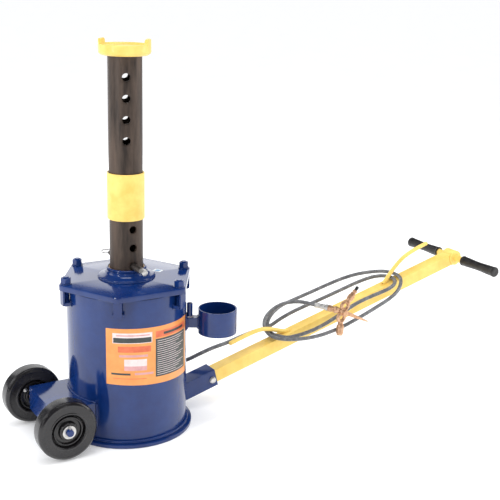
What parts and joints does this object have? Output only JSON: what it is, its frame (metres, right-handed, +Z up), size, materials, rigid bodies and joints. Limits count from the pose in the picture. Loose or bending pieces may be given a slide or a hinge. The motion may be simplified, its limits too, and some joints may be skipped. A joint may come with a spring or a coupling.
{
  "type": "air lift jack",
  "caption": "Wheeled air lift jack: air cylinder on a round base, pinned ram with lift-off extension and saddle, tow handle with hose and lever valve.",
  "frame": {"origin": "on the floor, on the air cylinder's axis, at the underside of its base plate", "axes": "+X horizontally towards the tow handle, +Y along the axle, +Z up along the ram"},
  "size_m": [1.5201, 0.4072, 1.053],
  "materials": {
    "blue_paint": "gloss enamel",
    "yellow_paint": "satin enamel",
    "mill_steel": "oiled mill scale",
    "zinc": "zinc plated",
    "brass": "satin",
    "bronze": "oiled",
    "seal_rubber": "matte",
    "wheel_rubber": "satin",
    "grip_plastic": "soft satin",
    "hose_rubber": "satin"
  },
  "bodies": {
    "tank": {"base_plate": "blue_paint", "barrel": "blue_paint", "top_plate": "blue_paint", "plate_gasket": "seal_rubber", "ram_hub": "blue_paint", "guide_bushing": "bronze", "plate_lug_1": "blue_paint", "plate_lug_2": "blue_paint", "plate_lug_3": "blue_paint", "plate_lug_4": "blue_paint", "plate_lug_5": "blue_paint", "plate_lug_6": "blue_paint", "plate_bolt_1": "blue_paint", "plate_bolt_2": "blue_paint", "plate_bolt_3": "blue_paint", "plate_bolt_4": "blue_paint", "plate_bolt_6": "blue_paint", "wheel_bracket": "blue_paint", "axle": "blue_paint", "axle_washer_near": "zinc", "axle_washer_far": "zinc", "cotter_pin_near": "zinc", "cotter_pin_far": "zinc", "handle_socket": "blue_paint", "socket_bolt": "zinc", "socket_nut": "zinc", "handle_tube": "yellow_paint", "crossbar_boss": "yellow_paint", "crossbar": "yellow_paint", "grip_near": "grip_plastic", "grip_far": "grip_plastic", "hose_hook_lower": "yellow_paint", "hose_hook_upper": "yellow_paint", "storage_cup": "blue_paint", "cup_arm": "blue_paint", "pin_stub": "blue_paint", "inlet_elbow": "brass", "hose_first_turn": "hose_rubber", "hose_second_turn": "hose_rubber", "hose_fitting": "zinc", "valve_body": "brass", "air_plug": "brass"},
    "ram": {"ram_tube": "mill_steel", "piston": "mill_steel", "piston_cup": "seal_rubber"},
    "extension": {"ram_extension": "mill_steel", "extension_collar": "yellow_paint"},
    "saddle": {"saddle": "yellow_paint"},
    "lock_pin": {"lock_pin": "mill_steel", "pull_ring": "zinc"},
    "wheel_near": {"wheel_near": "wheel_rubber", "wheel_bushing_near": "bronze", "grease_nipple_near": "zinc"},
    "wheel_far": {"wheel_far": "wheel_rubber", "wheel_bushing_far": "bronze", "grease_nipple_far": "zinc"},
    "valve_lever": {"valve_lever": "brass"},
    "bleed_knob": {"bleed_knob": "brass"}
  },
  "joints": [
    {"name": "ram_lift", "type": "slide", "parent": "tank", "child": "ram", "axis": [0, 0, 1], "range_m": [0, 0.3]},
    {"name": "extension_lift", "type": "slide", "parent": "ram", "child": "extension", "axis": [0, 0, 1], "range_m": [0, 0.063]},
    {"name": "saddle_swivel", "type": "hinge", "parent": "extension", "child": "saddle", "pos_m": [0, 0, 1.02], "axis": [0, 0, 1], "continuous": true},
    {"name": "lock_pin_pull", "type": "slide", "parent": "ram", "child": "lock_pin", "axis": [0, 1, 0], "range_m": [0, 0.16]},
    {"name": "wheel_near_spin", "type": "hinge", "parent": "tank", "child": "wheel_near", "pos_m": [-0.233, -0.1266, 0.0824], "axis": [0, 1, 0], "continuous": true},
    {"name": "wheel_far_spin", "type": "hinge", "parent": "tank", "child": "wheel_far", "pos_m": [-0.233, 0.1266, 0.0824], "axis": [0, 1, 0], "continuous": true},
    {"name": "valve_lever_turn", "type": "hinge", "parent": "tank", "child": "valve_lever", "pos_m": [0.66448, -0.10882, 0.24483], "axis": [0, -1, 0], "range_deg": [0, 70]},
    {"name": "bleed_knob_turn", "type": "hinge", "parent": "tank", "child": "bleed_knob", "pos_m": [0.6601, -0.09752, 0.2261], "axis": [-0.1225, -0.0925, -0.9882], "continuous": true}
  ]
}
